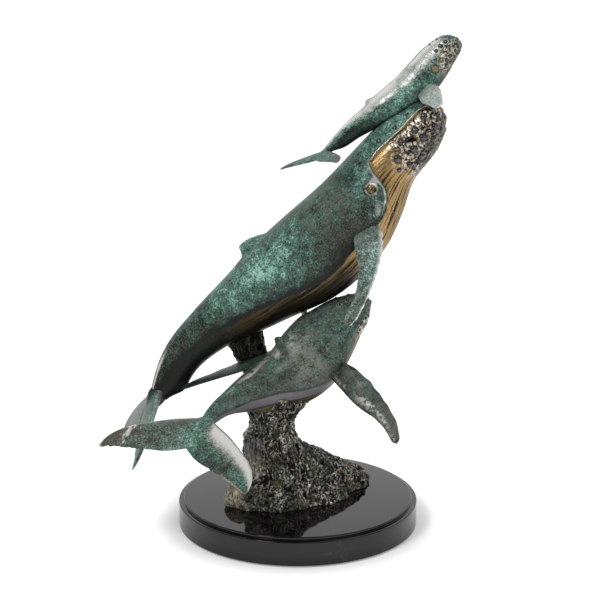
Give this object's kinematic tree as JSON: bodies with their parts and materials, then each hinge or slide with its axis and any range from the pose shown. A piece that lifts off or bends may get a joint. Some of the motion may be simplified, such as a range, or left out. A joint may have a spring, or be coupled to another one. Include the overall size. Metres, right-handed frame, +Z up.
{
  "type": "whale figurine",
  "caption": "Patinated cast bronze humpback whale family rising from a rough rock pillar on a round polished black marble base with a stepped rim and a felt underside.",
  "frame": {"origin": "centre of the felt underside of the round base", "axes": "+Z up, +X to the viewer's right, the way the whales swim, +Y away from the viewer who faces the whales' right flanks"},
  "size_m": [0.3373, 0.2959, 0.4682],
  "materials": {
    "patina_bronze": "mottled green patina over waxed bronze",
    "rock_bronze": "rough dark cast bronze with rubbed highlights",
    "pin_bronze": "turned bronze rod",
    "black_marble": "polished",
    "felt": "matt felt",
    "steel": "zinc plated"
  },
  "bodies": {
    "root": {"marble_base": "black_marble", "felt_pad": "felt", "mounting_studs": "steel", "mounting_washers": "steel", "mounting_nuts": "steel", "rock_mound": "rock_bronze", "rock_spur": "rock_bronze", "mother_body": "patina_bronze", "mother_right_flipper": "patina_bronze", "mother_left_flipper": "patina_bronze", "mother_flukes": "patina_bronze", "escort_body": "patina_bronze", "escort_right_flipper": "patina_bronze", "escort_left_flipper": "patina_bronze", "escort_flukes": "patina_bronze", "calf_body": "patina_bronze", "calf_right_flipper": "patina_bronze", "calf_left_flipper": "patina_bronze", "calf_flukes": "patina_bronze", "tie_pin": "pin_bronze", "spur_pin": "pin_bronze", "escort_pins": "pin_bronze", "calf_pins": "pin_bronze"}
  },
  "joints": []
}
